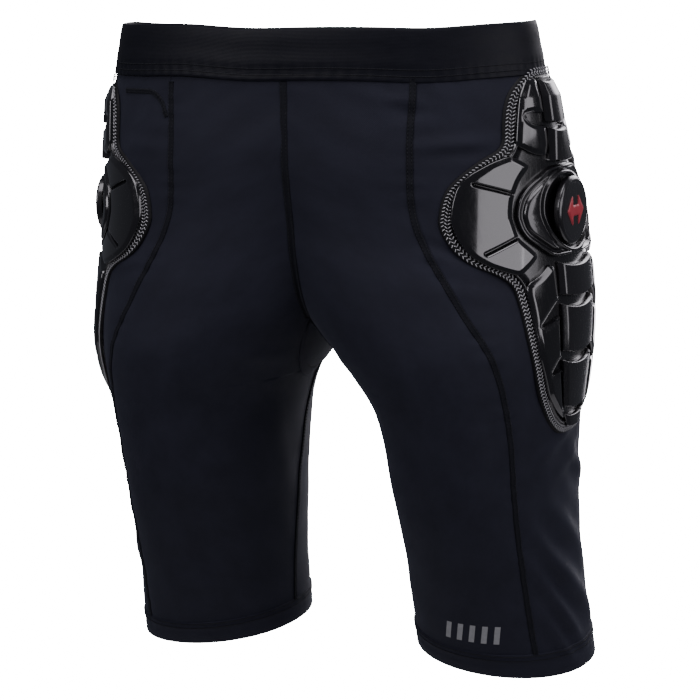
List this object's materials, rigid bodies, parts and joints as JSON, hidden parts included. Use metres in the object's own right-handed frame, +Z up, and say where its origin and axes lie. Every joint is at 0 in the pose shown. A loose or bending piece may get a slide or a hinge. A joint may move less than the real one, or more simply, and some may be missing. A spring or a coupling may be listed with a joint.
{
  "type": "padded impact shorts",
  "caption": "Close-fitting padded impact shorts with an elastic waistband, sewn stretch panels and moulded, segmented hip and thigh pads on both sides",
  "frame": {"origin": "centre of the waist opening, level with the top edge of the waistband", "axes": "+Z up out of the waist opening, -Y to the front of the wearer, +X to the wearer's left"},
  "size_m": [0.402, 0.226, 0.4981],
  "materials": {
    "fabric": "smooth stretch knit, near black",
    "elastic": "satin woven elastic",
    "thread": "flatlock stitching",
    "backing": "matte flexible polyurethane",
    "pad_thread": "grey zigzag stitching",
    "plate": "glossy moulded polyurethane",
    "mark_red": "raised red print",
    "mark_grey": "raised grey print"
  },
  "bodies": {
    "root": {"waistband": "elastic", "waistband_stitching": "thread", "gusset": "fabric", "centre_front_seam": "thread", "centre_back_seam": "thread", "hem_mark": "mark_grey", "front_panel_left": "fabric", "front_panel_right": "fabric", "side_panel_left": "fabric", "side_panel_right": "fabric", "back_panel_left": "fabric", "back_panel_right": "fabric", "hem_band_left": "fabric", "hem_band_right": "fabric", "front_seam_left": "thread", "front_seam_right": "thread", "back_seam_left": "thread", "back_seam_right": "thread", "inseam_left": "thread", "inseam_right": "thread", "hem_stitching_left": "thread", "hem_stitching_right": "thread", "pad_backing_left": "backing", "pad_backing_right": "backing", "pad_stitching_left": "pad_thread", "pad_stitching_right": "pad_thread", "upper_front_plate_left": "plate", "upper_front_plate_right": "plate", "upper_rear_plate_left": "plate", "upper_rear_plate_right": "plate", "upper_side_plates_left": "plate", "upper_side_plates_right": "plate", "front_petal_left": "plate", "front_petal_right": "plate", "rear_petal_left": "plate", "rear_petal_right": "plate", "hub_plate_left": "plate", "hub_plate_right": "plate", "hub_disc_left": "plate", "hub_disc_right": "plate", "disc_mark_left": "mark_red", "disc_mark_right": "mark_red", "thigh_front_plate_left": "plate", "thigh_front_plate_right": "plate", "thigh_rear_plate_left": "plate", "thigh_rear_plate_right": "plate", "thigh_side_plates_left": "plate", "thigh_side_plates_right": "plate"}
  },
  "joints": []
}
